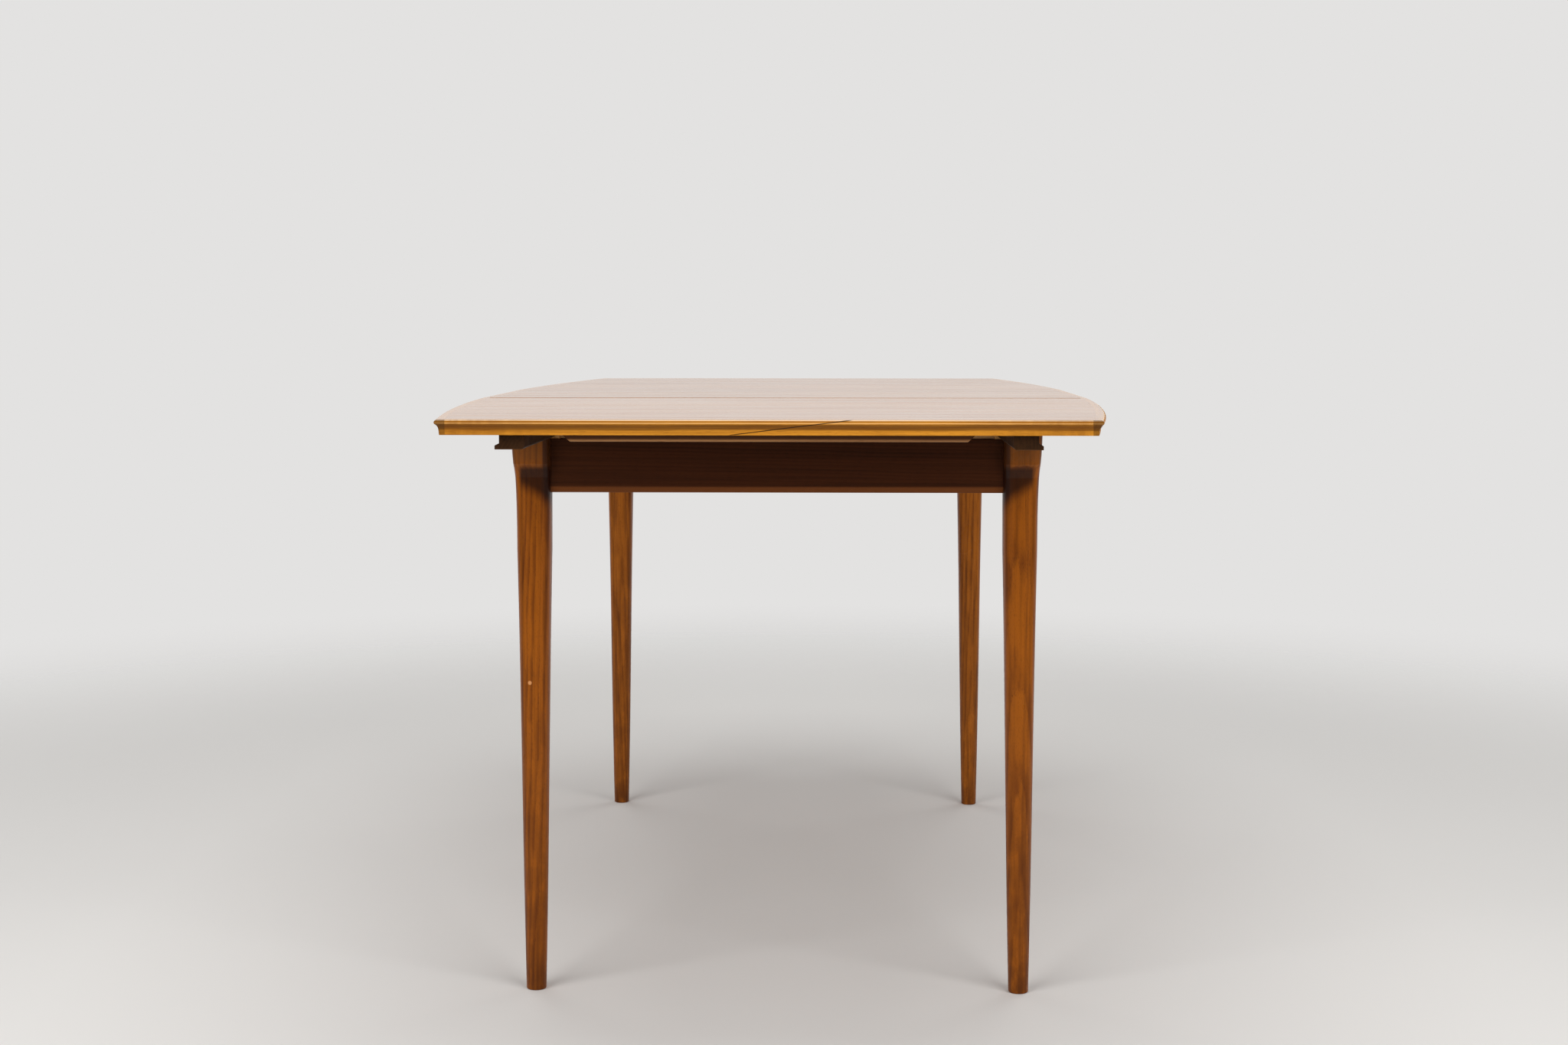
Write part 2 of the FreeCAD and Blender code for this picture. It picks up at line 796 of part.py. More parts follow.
def build_leaf():
    """The loose leaf: its board, two battens and their screws."""
    parts = leaf_board()
    low = underside - leaf_batten_thickness
    length = leaf_batten_thickness + screw_bite_length
    up = Vector(0, 0, 1)
    ends = {"near": -leaf_batten_y, "far": leaf_batten_y}
    spots = [spot for y in ends.values() for spot in batten_screw_places(y, low)]
    holes = [screw_hole(spot, up, length) for spot in spots]
    for name in ("core", "backing_veneer"):
        parts[name] = drilled(parts[name], holes)
    for end, y in ends.items():
        parts["batten_" + end] = drilled(leaf_batten(y), holes)
    parts["batten_screws"] = Part.makeCompound([screw(spot, up, length) for spot in spots])
    return {"leaf_" + name: shape for name, shape in parts.items()}


def main():
    """Build every piece and write one STEP file for each."""
    nodes = build_underframe()
    nodes.update(build_half("near"))
    nodes.update(build_half("far"))
    nodes.update(build_leaf())
    os.makedirs("parts", exist_ok=True)
    for name, shape in nodes.items():
        if not shape.isValid():
            print("not valid:", name)
        shape.exportStep(os.path.join("parts", name + ".step"))
        print(name, len(shape.Solids), round(shape.Volume / 1000, 2))
    print(len(nodes), "nodes")


main()
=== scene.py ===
"""Dresses the extending dining table: finishes, eased joinery, a plain studio and the camera.

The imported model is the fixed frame. Each sub-assembly is a class that holds its sizes and dresses its own pieces.
Finishes are frozen dataclasses. Sizes are in metres, or in real millimetres where a name ends in _mm.
"""

import logging
import math
from dataclasses import dataclass, replace
from enum import Enum

import bmesh
import bpy
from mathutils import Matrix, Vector


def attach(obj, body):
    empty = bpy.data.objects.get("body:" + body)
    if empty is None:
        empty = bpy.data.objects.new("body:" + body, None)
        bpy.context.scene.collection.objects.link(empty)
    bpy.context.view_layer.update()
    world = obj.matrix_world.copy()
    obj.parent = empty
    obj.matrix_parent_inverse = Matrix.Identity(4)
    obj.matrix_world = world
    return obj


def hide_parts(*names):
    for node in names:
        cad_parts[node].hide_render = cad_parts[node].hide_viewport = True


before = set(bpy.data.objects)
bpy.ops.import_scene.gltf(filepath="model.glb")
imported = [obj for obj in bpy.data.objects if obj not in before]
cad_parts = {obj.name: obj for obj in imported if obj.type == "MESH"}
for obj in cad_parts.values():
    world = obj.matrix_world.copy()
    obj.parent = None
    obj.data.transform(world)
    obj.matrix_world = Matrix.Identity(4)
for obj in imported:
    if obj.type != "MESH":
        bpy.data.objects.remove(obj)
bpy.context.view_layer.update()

LOG = logging.getLogger("table")
PHOTO_SIZE = (2048, 1365)
MM_PER_METRE = 1000.0

Triple = tuple[float, float, float]
Pair = tuple[float, float]
Socket = bpy.types.NodeSocket


class Grain(Enum):
    """Which way the fibres of a piece run, with the turn that lays them along a pattern's own X."""

    ACROSS_TABLE = (0.0, 0.0, 0.0)
    ALONG_TABLE = (0.0, 0.0, -math.pi / 2)
    UPRIGHT = (0.0, math.pi / 2, 0.0)


def linear(hex_colour: str) -> tuple[float, float, float, float]:
    """Turns an sRGB hex colour into the linear values that a shader works in.

    Args:
        hex_colour: Six hex digits after a hash, as in "#A0652B".

    Returns:
        Red, green, blue and an alpha of one.
    """
    parts = (int(hex_colour[i : i + 2], 16) / 255 for i in (1, 3, 5))
    red, green, blue = (p / 12.92 if p <= 0.04045 else ((p + 0.055) / 1.055) ** 2.4 for p in parts)
    return (red, green, blue, 1.0)


def add_node(
    tree: bpy.types.NodeTree,
    kind: str,
    settings: dict[str, object] | None = None,
    inputs: dict[str | int, object] | None = None,
) -> bpy.types.Node:
    """Adds one node, sets its options, and fills or links its inputs.

    Args:
        tree: The node tree that takes the node.
        kind: The node's type name.
        settings: Its own options, by attribute name.
        inputs: Values or sockets to link, by input name or number.

    Returns:
        The new node.
    """
    node = tree.nodes.new(kind)
    for name, value in (settings or {}).items():
        setattr(node, name, value)
    for key, value in (inputs or {}).items():
        if isinstance(value, Socket):
            tree.links.new(value, node.inputs[key])
        else:
            node.inputs[key].default_value = value
    return node


def new_material(name: str) -> tuple[bpy.types.Material, bpy.types.NodeTree, bpy.types.Node]:
    """Makes a node material, named for the real one, and gives its nodes and its one shader too."""
    material = bpy.data.materials.new(name)
    material.use_nodes = True
    return material, material.node_tree, material.node_tree.nodes["Principled BSDF"]


def place_in_mm(tree: bpy.types.NodeTree) -> Socket:
    """Gives the piece's own coordinates in millimetres."""
    seen = add_node(tree, "ShaderNodeTexCoord").outputs["Object"]
    return add_node(tree, "ShaderNodeMapping", None, {"Vector": seen, "Scale": (MM_PER_METRE,) * 3}).outputs[0]


@dataclass(frozen=True)
class Canvas:
    """A node tree while a pattern is drawn in it.

    Attributes:
        tree: The nodes.
        place: The piece's own coordinates, in millimetres.
        wood: The same place with the fibres along X.
    """

    tree: bpy.types.NodeTree
    place: Socket
    wood: Socket | None = None

    def math(self, operation: str, *values: object, clamp: bool = False) -> Socket:
        """Works out one number from others."""
        settings = {"operation": operation, "use_clamp": clamp}
        return add_node(self.tree, "ShaderNodeMath", settings, dict(enumerate(values))).outputs[0]

    def times(self, first: object, second: object, plus: object = 0.0, clamp: bool = False) -> Socket:
        """Multiplies two numbers and adds a third."""
        return self.math("MULTIPLY_ADD", first, second, plus, clamp=clamp)

    def minus(self, first: object, second: object) -> Socket:
        """Takes the second number from the first."""
        return self.math("SUBTRACT", first, second)

    def swing(self, value: object, share: float, base: object = 0.0, clamp: bool = False) -> Socket:
        """Moves a base up and down with a value that lies round one half."""
        return self.times(self.minus(value, 0.5), share, base, clamp)

    def axes(self, vector: Socket) -> tuple[Socket, ...]:
        """Splits a place into its three numbers."""
        return tuple(add_node(self.tree, "ShaderNodeSeparateXYZ", None, {0: vector}).outputs)

    def vector(self, *parts: object) -> Socket:
        """Puts a place together from its three numbers."""
        return add_node(self.tree, "ShaderNodeCombineXYZ", None, dict(enumerate(parts))).outputs[0]

    def length(self, vector: Socket) -> Socket:
        """Measures how far a place is from the origin."""
        return add_node(self.tree, "ShaderNodeVectorMath", {"operation": "LENGTH"}, {0: vector}).outputs["Value"]

    def chance(self, number: Socket) -> Socket:
        """Gives each whole number its own fixed value from zero to one."""
        return add_node(self.tree, "ShaderNodeTexWhiteNoise", {"noise_dimensions": "1D"}, {"W": number}).outputs[0]

    def noise(self, vector: Socket, grains_mm: Triple, detail: float = 2.0, roughness: float = 0.5) -> Socket:
        """Draws soft noise whose blobs have the given size.

        Args:
            vector: The place to read.
            grains_mm: A blob's length along each axis.
            detail: How many finer layers are added.
            roughness: How strong those layers are.

        Returns:
            A value round one half.
        """
        scale = tuple(1.0 / g for g in grains_mm)
        spread = add_node(self.tree, "ShaderNodeMapping", None, {"Vector": vector, "Scale": scale})
        inputs = {"Vector": spread.outputs[0], "Scale": 1.0, "Detail": detail, "Roughness": roughness}
        return add_node(self.tree, "ShaderNodeTexNoise", None, inputs).outputs[0]

    def window(self, value: object, low: float, high: float) -> Socket:
        """Turns a value into zero at low, one at high and a soft step between."""
        inputs = {0: value, 1: low, 2: high}
        return add_node(self.tree, "ShaderNodeMapRange", {"interpolation_type": "SMOOTHSTEP"}, inputs).outputs[0]

    def blend(self, share: object, first: object, second: object) -> Socket:
        """Mixes two colours by a share."""
        inputs = {0: share, 6: first, 7: second}
        return add_node(self.tree, "ShaderNodeMix", {"data_type": "RGBA"}, inputs).outputs[2]


@dataclass(frozen=True)
class Mark:
    """Something drawn as a colour over the grain: what age or use has left on a wood, and also painted shade and
    painted highlights.

    A span says where a soft edge starts and ends.
    """

    colour: str
    strength: float = 1.0

    def mask(self, canvas: Canvas) -> Socket:
        """Says where the mark is, from zero to one."""
        raise NotImplementedError


@dataclass(frozen=True)
class BandMark(Mark):
    """A band at one height that wanders a little, fades and breaks up along its length: worn or grimy wood, dark
    joints, and painted highlights and painted shade.
    """

    axis: int = 2
    middle_mm: float = 0.0
    half_width_mm: float = 1.0
    core_share: float = 0.4
    patch_mm: float = 60.0
    broken: float = 0.5
    gap_edge: float = 0.25
    wander_mm: float = 0.0
    sway_mm: Triple = (110.0, 110.0, 400.0)

    def mask(self, canvas: Canvas) -> Socket:
        """Says how near a place is to the band's middle, with gaps."""
        height = canvas.minus(canvas.axes(canvas.place)[self.axis], self.middle_mm)
        if self.wander_mm:
            height = canvas.swing(canvas.noise(canvas.place, self.sway_mm), self.wander_mm * 4, height)
        off = canvas.math("ABSOLUTE", height)
        near = canvas.window(off, self.half_width_mm, self.half_width_mm * self.core_share)
        patches = canvas.noise(canvas.place, (self.patch_mm,) * 3, detail=3.0, roughness=0.65)
        kept = canvas.window(patches, 0.5 * self.broken, 0.5 * self.broken + self.gap_edge)
        return canvas.times(near, kept)


@dataclass(frozen=True)
class EndMark(Mark):
    """Grime or fading that grows towards one end of a piece."""

    axis: int = 2
    from_mm: float = 0.0
    to_mm: float = 100.0
    patch_mm: Triple = (14.0, 14.0, 30.0)
    patch_span: Pair = (0.25, 0.6)

    def mask(self, canvas: Canvas) -> Socket:
        """Says how far a place is from the start towards the end, with soft patches."""
        along = canvas.window(canvas.axes(canvas.place)[self.axis], self.from_mm, self.to_mm)
        patches = canvas.noise(canvas.place, self.patch_mm, detail=3.0, roughness=0.6)
        return canvas.times(along, canvas.window(patches, *self.patch_span))


@dataclass(frozen=True)
class HollowShadowMark(Mark):
    """Painted shadow in the hollow under a leg's head, darker than the shape alone makes it, reaching lower down on
    the table's inner side.
    """

    axis_mm: float = 304.0
    top_span_mm: Pair = (667.0, 658.0)
    foot_mm: float = 630.0
    foot_slope: float = 0.6
    foot_span_mm: Pair = (-10.0, 12.0)
    outer_span_mm: Pair = (19.0, 12.0)

    def mask(self, canvas: Canvas) -> Socket:
        """Says whether a place is in the hollow."""
        x, _, z = canvas.axes(canvas.place)
        outwards = canvas.minus(canvas.math("ABSOLUTE", x), self.axis_mm)
        foot = canvas.times(outwards, self.foot_slope, self.foot_mm)
        below = canvas.window(z, *self.top_span_mm)
        above = canvas.window(canvas.minus(z, foot), *self.foot_span_mm)
        inside = canvas.window(outwards, *self.outer_span_mm)
        return canvas.times(canvas.times(below, above), inside)


@dataclass(frozen=True)
class InnerSideShadeMark(Mark):
    """Painted shade on the inner side of a leg's head, high up."""

    axis_mm: float = 304.0
    edge_span_mm: Pair = (13.0, 15.0)
    low_span_mm: Pair = (596.0, 640.0)

    def mask(self, canvas: Canvas) -> Socket:
        """Says whether a place is on the inner side, high up."""
        x, _, z = canvas.axes(canvas.place)
        inwards = canvas.minus(self.axis_mm, canvas.math("ABSOLUTE", x))
        inner = canvas.window(inwards, *self.edge_span_mm)
        return canvas.times(inner, canvas.window(z, *self.low_span_mm))


@dataclass(frozen=True)
class GlueLineMark(Mark):
    """The thin dark line of a long sloping glue joint."""

    start_x_mm: float = 0.0
    start_z_mm: float = 0.0
    run_mm: float = 1.0
    rise_mm: float = 1.0
    half_width_mm: float = 0.35
    core_share: float = 0.3
    flat_span_mm: Pair = (0.5, 0.1)

    def mask(self, canvas: Canvas) -> Socket:
        """Says how near a place is to the joint's plane, which the flat top and bottom meet at a low angle."""
        x, _, z = canvas.axes(canvas.place)
        length = math.hypot(self.run_mm, self.rise_mm)
        along = canvas.times(canvas.minus(x, self.start_x_mm), self.rise_mm / length)
        up = canvas.times(canvas.minus(z, self.start_z_mm), self.run_mm / length)
        off = canvas.math("ABSOLUTE", canvas.minus(along, up))
        half = self.rise_mm / 2
        from_middle = canvas.math("ABSOLUTE", canvas.minus(z, self.start_z_mm + half))
        flat = canvas.window(from_middle, *(half - inset for inset in self.flat_span_mm))
        thinner = canvas.times(flat, self.run_mm / self.rise_mm - 1.0, 1.0)
        off = canvas.times(off, thinner)
        return canvas.window(off, self.half_width_mm, self.half_width_mm * self.core_share)


@dataclass(frozen=True)
class ChipMark(Mark):
    """A small chip where the finish is knocked off and bare wood shows."""

    centre_mm: Triple = (0.0, 0.0, 0.0)
    size_mm: Triple = (5.0, 5.0, 8.0)
    ragged_mm: Triple = (2.0, 2.0, 3.0)
    ragged_share: float = 0.5
    rim_span: Pair = (1.3, 1.15)

    def mask(self, canvas: Canvas) -> Socket:
        """Says whether a place is inside the chip, whose rim is uneven."""
        shift = tuple(-c / s for c, s in zip(self.centre_mm, self.size_mm))
        scale = tuple(1.0 / s for s in self.size_mm)
        inputs = {"Vector": canvas.place, "Location": shift, "Scale": scale}
        local = add_node(canvas.tree, "ShaderNodeMapping", None, inputs).outputs[0]
        rim = canvas.noise(canvas.place, self.ragged_mm)
        far = canvas.times(rim, self.ragged_share, canvas.length(local))
        return canvas.window(far, *self.rim_span)


@dataclass(frozen=True)
class WoodPattern:
    """The sizes and strengths that the patterns of all the woods share.

    Attributes:
        broad_sway_mm, small_sway_mm, small_sway_share: How the rings wander, broadly and by a share of a ring.
        late_span, early_span: Where in a ring its dark edge and the porous wood after it lie.
        faintest_ring: How dark the faintest ring is beside the darkest.
        streak_mm, streak_span: The mineral streaks.
        fibre_mm, fibre_share, fibre_relief: The fibres, and how high they stand as a share of a pore's depth.
        tone_mm, tone_share: The slow changes of tone along a board.
        figure_span, leaf_tone_share: The broad bands, and how far one veneer leaf differs from the next.
        pore_span, pore_share_late: The pores, and how many are left outside the porous wood.
        seam_span_mm, seam_share: The seams between veneer leaves.
        leaf_shift_mm: How much deeper in the log each next leaf lies.
        smudge_mm, smudge_share, pore_roughness: What makes the surface duller in places.
        wear_mm: How softly the worn lacquer ends.
    """

    broad_sway_mm: Triple = (420.0, 60.0, 60.0)
    small_sway_mm: Triple = (90.0, 9.0, 9.0)
    small_sway_share: float = 0.5
    late_span: Pair = (0.35, 1.0)
    early_span: Pair = (0.16, 0.0)
    faintest_ring: float = 0.3
    streak_mm: Triple = (360.0, 5.0, 5.0)
    streak_span: Pair = (0.42, 0.72)
    fibre_mm: Triple = (50.0, 0.9, 0.9)
    fibre_share: float = 0.35
    fibre_relief: float = 0.25
    tone_mm: Triple = (520.0, 130.0, 130.0)
    tone_share: float = 0.9
    figure_span: Pair = (0.38, 0.62)
    leaf_tone_share: float = 0.7
    pore_span: Pair = (0.6, 0.7)
    pore_share_late: float = 0.4
    seam_span_mm: Pair = (0.5, 0.1)
    seam_share: float = 0.5
    leaf_shift_mm: float = 3.0
    smudge_mm: Triple = (70.0, 70.0, 110.0)
    smudge_share: float = 0.3
    pore_roughness: float = 0.15
    wear_mm: float = 1.2


PATTERN = WoodPattern()


@dataclass(frozen=True)
class Figure:
    """What is drawn of one wood, each part from zero to one, for its colour, shine and relief to share."""

    ring: Socket
    streaks: Socket
    fibres: Socket
    pores: Socket
    seam: Socket | None
    leaf_tone: Socket | None


@dataclass(frozen=True)
class WoodFinish:
    """A sawn, planed and lacquered wood, drawn as growth rings cut through by the piece's own faces.

    Attributes:
        name: What the wood and its surface are.
        pale, dark: The colours inside a ring and at its edge.
        streak, pore: The colours of the long mineral streaks and of the open pores.
        grain: Which way the fibres run.
        ring_mm, sway_mm: The width of a growth ring, and how far the rings wander.
        pith_mm: How far the tree's heart is from the piece, in the two directions across the fibres.
        lean: How much the heart drifts sideways for each unit along the fibres, which draws the arches.
        ring_share, streak_share, pore_share: How strongly each of them shows.
        pore_mm: A pore's length and width. Real ones are about 0.2 mm wide, too fine to show, so they are coarser.
        roughness, specular: The wood's own roughness and specular level.
        coat, coat_roughness: How much lacquer lies over it, and how rough that is.
        pore_depth_mm: How deep the pores are for the bump.
        leaf_mm, leaf_start_mm: The width of a veneer leaf, or zero for solid wood, and where the first begins.
        figure_mm, figure_share: How long and wide the broad bands of the figure are, and how strongly they show.
        arc_mm: The centre and radius of the bowed edge that the fibres follow, or nothing for a straight piece.
        coat_from_mm: The height from which the lacquer is whole, with worn and dull wood below it.
        coat_streaks: How much thinner the lacquer is where it has sunk into the open-pored streaks.
        marks: What age has left on it, and painted shade and highlights, drawn in order.
    """

    name: str
    pale: str
    dark: str
    streak: str
    pore: str
    grain: Grain = Grain.ACROSS_TABLE
    ring_mm: float = 4.0
    pith_mm: Pair = (0.0, 0.0)
    lean: Pair = (0.01, 0.02)
    sway_mm: float = 6.0
    ring_share: float = 0.6
    streak_share: float = 0.4
    pore_mm: Pair = (9.0, 0.5)
    pore_share: float = 0.5
    roughness: float = 0.5
    coat: float = 0.0
    coat_roughness: float = 0.25
    specular: float = 0.35
    pore_depth_mm: float = 0.05
    leaf_mm: float = 0.0
    leaf_start_mm: float = -185.0
    figure_mm: Pair = (700.0, 26.0)
    figure_share: float = 0.25
    arc_mm: Triple | None = None
    coat_from_mm: float = 0.0
    coat_streaks: float = 0.0
    marks: tuple[Mark, ...] = ()

    def bent(self, canvas: Canvas) -> Canvas:
        """Measures the wood's own place along a bowed edge, as in a strip that was sprung to the curve and glued."""
        x, y, z = canvas.axes(canvas.place)
        centre_x, centre_y, radius = self.arc_mm
        off_x = canvas.math("ADD", canvas.math("ABSOLUTE", x), centre_x)
        off_y = canvas.math("ADD", canvas.math("ABSOLUTE", y), centre_y)
        square = canvas.times(off_x, off_x, canvas.times(off_y, off_y))
        out = canvas.minus(canvas.math("SQRT", square), radius)
        along = canvas.times(canvas.math("SIGN", x), radius, y)
        return replace(canvas, wood=canvas.vector(along, out, z))

    def folded(self, canvas: Canvas) -> tuple[Canvas, Socket, Socket]:
        """Lays the veneer in leaves, each turned over beside the last as a maker opens them like a book.

        Args:
            canvas: The pattern's canvas.

        Returns:
            The canvas in the leaf's own place, a value that is one on the seams, and the leaf's own tone.
        """
        x, y, z = canvas.axes(canvas.wood)
        from_start = canvas.minus(y, self.leaf_start_mm)
        inside = canvas.math("PINGPONG", from_start, self.leaf_mm)
        number = canvas.math("FLOOR", canvas.math("DIVIDE", from_start, self.leaf_mm))
        deeper = canvas.times(number, PATTERN.leaf_shift_mm, z)
        to_seam = canvas.math("PINGPONG", from_start, self.leaf_mm / 2)
        seam = canvas.window(to_seam, *PATTERN.seam_span_mm)
        return replace(canvas, wood=canvas.vector(x, inside, deeper)), seam, canvas.chance(number)

    def rings(self, canvas: Canvas) -> tuple[Socket, Socket]:
        """Draws the growth rings.

        Args:
            canvas: The pattern's canvas.

        Returns:
            How dark the ring is here, and how near its porous edge is.
        """
        x, y, z = canvas.axes(canvas.wood)
        off_y = canvas.minus(canvas.times(x, self.lean[0], y), self.pith_mm[0])
        off_z = canvas.minus(canvas.times(x, self.lean[1], z), self.pith_mm[1])
        square = canvas.times(off_y, off_y, canvas.times(off_z, off_z))
        small = canvas.noise(canvas.wood, PATTERN.small_sway_mm, detail=1.0)
        small = canvas.times(small, self.ring_mm * PATTERN.small_sway_share)
        broad = canvas.noise(canvas.wood, PATTERN.broad_sway_mm)
        sway = canvas.times(broad, self.sway_mm * 2, small)
        count = canvas.math("DIVIDE", canvas.math("ADD", canvas.math("SQRT", square), sway), self.ring_mm)
        within = canvas.math("FRACT", count)
        early = canvas.window(within, *PATTERN.early_span)
        edge = canvas.math("MAXIMUM", canvas.window(within, *PATTERN.late_span), early)
        own = canvas.chance(canvas.math("FLOOR", count))
        share = canvas.times(own, 1.0 - PATTERN.faintest_ring, PATTERN.faintest_ring)
        return canvas.times(edge, share), early

    def figure(self, canvas: Canvas) -> tuple[Canvas, Figure]:
        """Draws the wood's own patterns.

        Args:
            canvas: The pattern's canvas.

        Returns:
            The canvas as the wood was bent or folded, and what is drawn on it.
        """
        seam = leaf_tone = None
        if self.arc_mm:
            canvas = self.bent(canvas)
        if self.leaf_mm:
            canvas, seam, leaf_tone = self.folded(canvas)
        ring, early = self.rings(canvas)
        streaks = canvas.noise(canvas.wood, PATTERN.streak_mm, detail=3.0, roughness=0.6)
        streaks = canvas.window(streaks, *PATTERN.streak_span)
        fibres = canvas.noise(canvas.wood, PATTERN.fibre_mm)
        long, wide = self.pore_mm
        pores = canvas.window(canvas.noise(canvas.wood, (long, wide, wide), detail=0.0), *PATTERN.pore_span)
        kept = canvas.times(early, 1.0 - PATTERN.pore_share_late, PATTERN.pore_share_late)
        return canvas, Figure(ring, streaks, fibres, canvas.times(pores, kept), seam, leaf_tone)

    def colour(self, canvas: Canvas, figure: Figure) -> Socket:
        """Mixes the wood's colours by its figure, with its marks on top."""
        shade = canvas.times(figure.ring, self.ring_share)
        shade = canvas.swing(figure.fibres, PATTERN.fibre_share, shade)
        shade = canvas.swing(canvas.noise(canvas.wood, PATTERN.tone_mm), PATTERN.tone_share, shade)
        long, wide = self.figure_mm
        bands = canvas.noise(canvas.wood, (long, wide, wide), roughness=0.6)
        bands = canvas.window(bands, *PATTERN.figure_span)
        if figure.leaf_tone is not None:
            bands = canvas.swing(figure.leaf_tone, PATTERN.leaf_tone_share, bands)
        shade = canvas.swing(bands, self.figure_share, shade, clamp=True)
        colour = canvas.blend(shade, linear(self.pale), linear(self.dark))
        colour = canvas.blend(canvas.times(figure.streaks, self.streak_share), colour, linear(self.streak))
        colour = canvas.blend(canvas.times(figure.pores, self.pore_share), colour, linear(self.pore))
        if figure.seam is not None:
            colour = canvas.blend(canvas.times(figure.seam, PATTERN.seam_share), colour, linear(self.pore))
        for mark in self.marks:
            share = canvas.times(mark.mask(canvas), mark.strength)
            colour = canvas.blend(share, colour, linear(mark.colour))
        return colour

    def shine(self, canvas: Canvas, figure: Figure) -> Socket:
        """Says how rough the wood is, with smudges and dull pores."""
        smudge = canvas.noise(canvas.place, PATTERN.smudge_mm, detail=3.0, roughness=0.6)
        rough = canvas.swing(smudge, PATTERN.smudge_share, self.roughness)
        return canvas.times(figure.pores, PATTERN.pore_roughness, rough, clamp=True)

    def relief(self, canvas: Canvas, figure: Figure) -> Socket:
        """Sinks the pores and lifts the fibres."""
        depth = self.pore_depth_mm / MM_PER_METRE
        height = canvas.times(figure.pores, -depth)
        height = canvas.times(figure.fibres, depth * PATTERN.fibre_relief, height)
        return add_node(canvas.tree, "ShaderNodeBump", None, {"Distance": 1.0, "Height": height}).outputs[0]

    def lacquer(self, canvas: Canvas, figure: Figure) -> Socket:
        """Says how much lacquer is left where it has worn off or sunk into the streaks."""
        weight = canvas.times(figure.streaks, -self.coat_streaks * self.coat, self.coat)
        if self.coat_from_mm:
            height = canvas.axes(canvas.place)[2]
            whole = canvas.window(height, self.coat_from_mm - PATTERN.wear_mm, self.coat_from_mm)
            weight = canvas.times(whole, weight)
        return weight

    def material(self) -> bpy.types.Material:
        """Builds the finish as a node material.

        Returns:
            The material, on Object coordinates.
        """
        material, tree, shader = new_material(self.name)
        place = place_in_mm(tree)
        wood = add_node(tree, "ShaderNodeMapping", None, {"Vector": place, "Rotation": self.grain.value}).outputs[0]
        canvas, figure = self.figure(Canvas(tree, place, wood))
        tree.links.new(self.colour(canvas, figure), shader.inputs["Base Color"])
        tree.links.new(self.shine(canvas, figure), shader.inputs["Roughness"])
        tree.links.new(self.relief(canvas, figure), shader.inputs["Normal"])
        shader.inputs["IOR"].default_value = 1.5
        shader.inputs["Specular IOR Level"].default_value = self.specular
        shader.inputs["Coat Weight"].default_value = self.coat
        if self.coat_from_mm or self.coat_streaks:
            tree.links.new(self.lacquer(canvas, figure), shader.inputs["Coat Weight"])
        shader.inputs["Coat Roughness"].default_value = self.coat_roughness
        return material


@dataclass(frozen=True)
class ScrewSteelFinish:
    """Old bright wood-screw steel: drawn wire, cut and tumbled, now dull with brown spots in the slot and rim."""

    name: str = "steel_screw_dulled"
    bright: str = "#8E8A83"
    dull: str = "#5F5A53"
    rust: str = "#5A3A22"
    cloud_mm: float = 6.0
    cloud_span: Pair = (0.35, 0.65)
    cloud_relief_mm: float = 0.05
    spot_mm: float = 1.4
    spot_span: Pair = (0.52, 0.66)
    spot_share: float = 0.7
    roughness: float = 0.38
    rust_roughness: float = 0.35

    def material(self) -> bpy.types.Material:
        """Builds the finish as a node material."""
        material, tree, shader = new_material(self.name)
        place = place_in_mm(tree)
        canvas = Canvas(tree, place)
        cloud = canvas.noise(place, (self.cloud_mm,) * 3, detail=3.0, roughness=0.6)
        spots = canvas.window(canvas.noise(place, (self.spot_mm,) * 3, detail=3.0, roughness=0.7), *self.spot_span)
        colour = canvas.blend(canvas.window(cloud, *self.cloud_span), linear(self.bright), linear(self.dull))
        colour = canvas.blend(canvas.times(spots, self.spot_share), colour, linear(self.rust))
        rough = canvas.times(spots, self.rust_roughness, self.roughness)
        metal = canvas.times(spots, -self.spot_share, 1.0)
        height = canvas.times(cloud, self.cloud_relief_mm / MM_PER_METRE)
        bump = add_node(tree, "ShaderNodeBump", None, {"Distance": 1.0, "Height": height})
        tree.links.new(colour, shader.inputs["Base Color"])
        tree.links.new(rough, shader.inputs["Roughness"])
        tree.links.new(metal, shader.inputs["Metallic"])
        tree.links.new(bump.outputs[0], shader.inputs["Normal"])
        return material


# The fine dark lines where the leaf meets the halves, a little wider than the real gap so that they show from above.
JOINT_LINES = tuple(
    BandMark(colour="#2A1608", strength=0.75, axis=1, middle_mm=y, half_width_mm=0.75, broken=0.0)
    for y in (-184.9, 184.9)
)

# Teak veneer, knife-cut and pressed on: straight fibres with soft brown rings, laid across the table in turned leaves.
# A sprayed satin lacquer over it goes pale and even where it is seen edge-on.
FACE_VENEER = WoodFinish(
    name="teak_veneer_satin_lacquer",
    pale="#C4874A",
    dark="#985C28",
    streak="#7C481F",
    pore="#5A3214",
    ring_mm=5.5,
    pith_mm=(70.0, 705.0),
    lean=(0.012, 0.03),
    sway_mm=9.0,
    ring_share=0.62,
    streak_share=0.35,
    leaf_mm=115.0,
    figure_mm=(900.0, 24.0),
    figure_share=0.6,
    roughness=0.42,
    specular=0.15,
    coat=1.0,
    coat_roughness=0.14,
    coat_streaks=0.35,
    marks=JOINT_LINES,
)
FACE_VENEERS = {
    "near": FACE_VENEER,
    "leaf": replace(FACE_VENEER, name="teak_veneer_leaf", pale="#C2884E", dark="#965E2C", pith_mm=(-30.0, 712.0)),
    "far": replace(FACE_VENEER, name="teak_veneer_far", pith_mm=(20.0, 698.0), lean=(0.018, 0.024)),
}
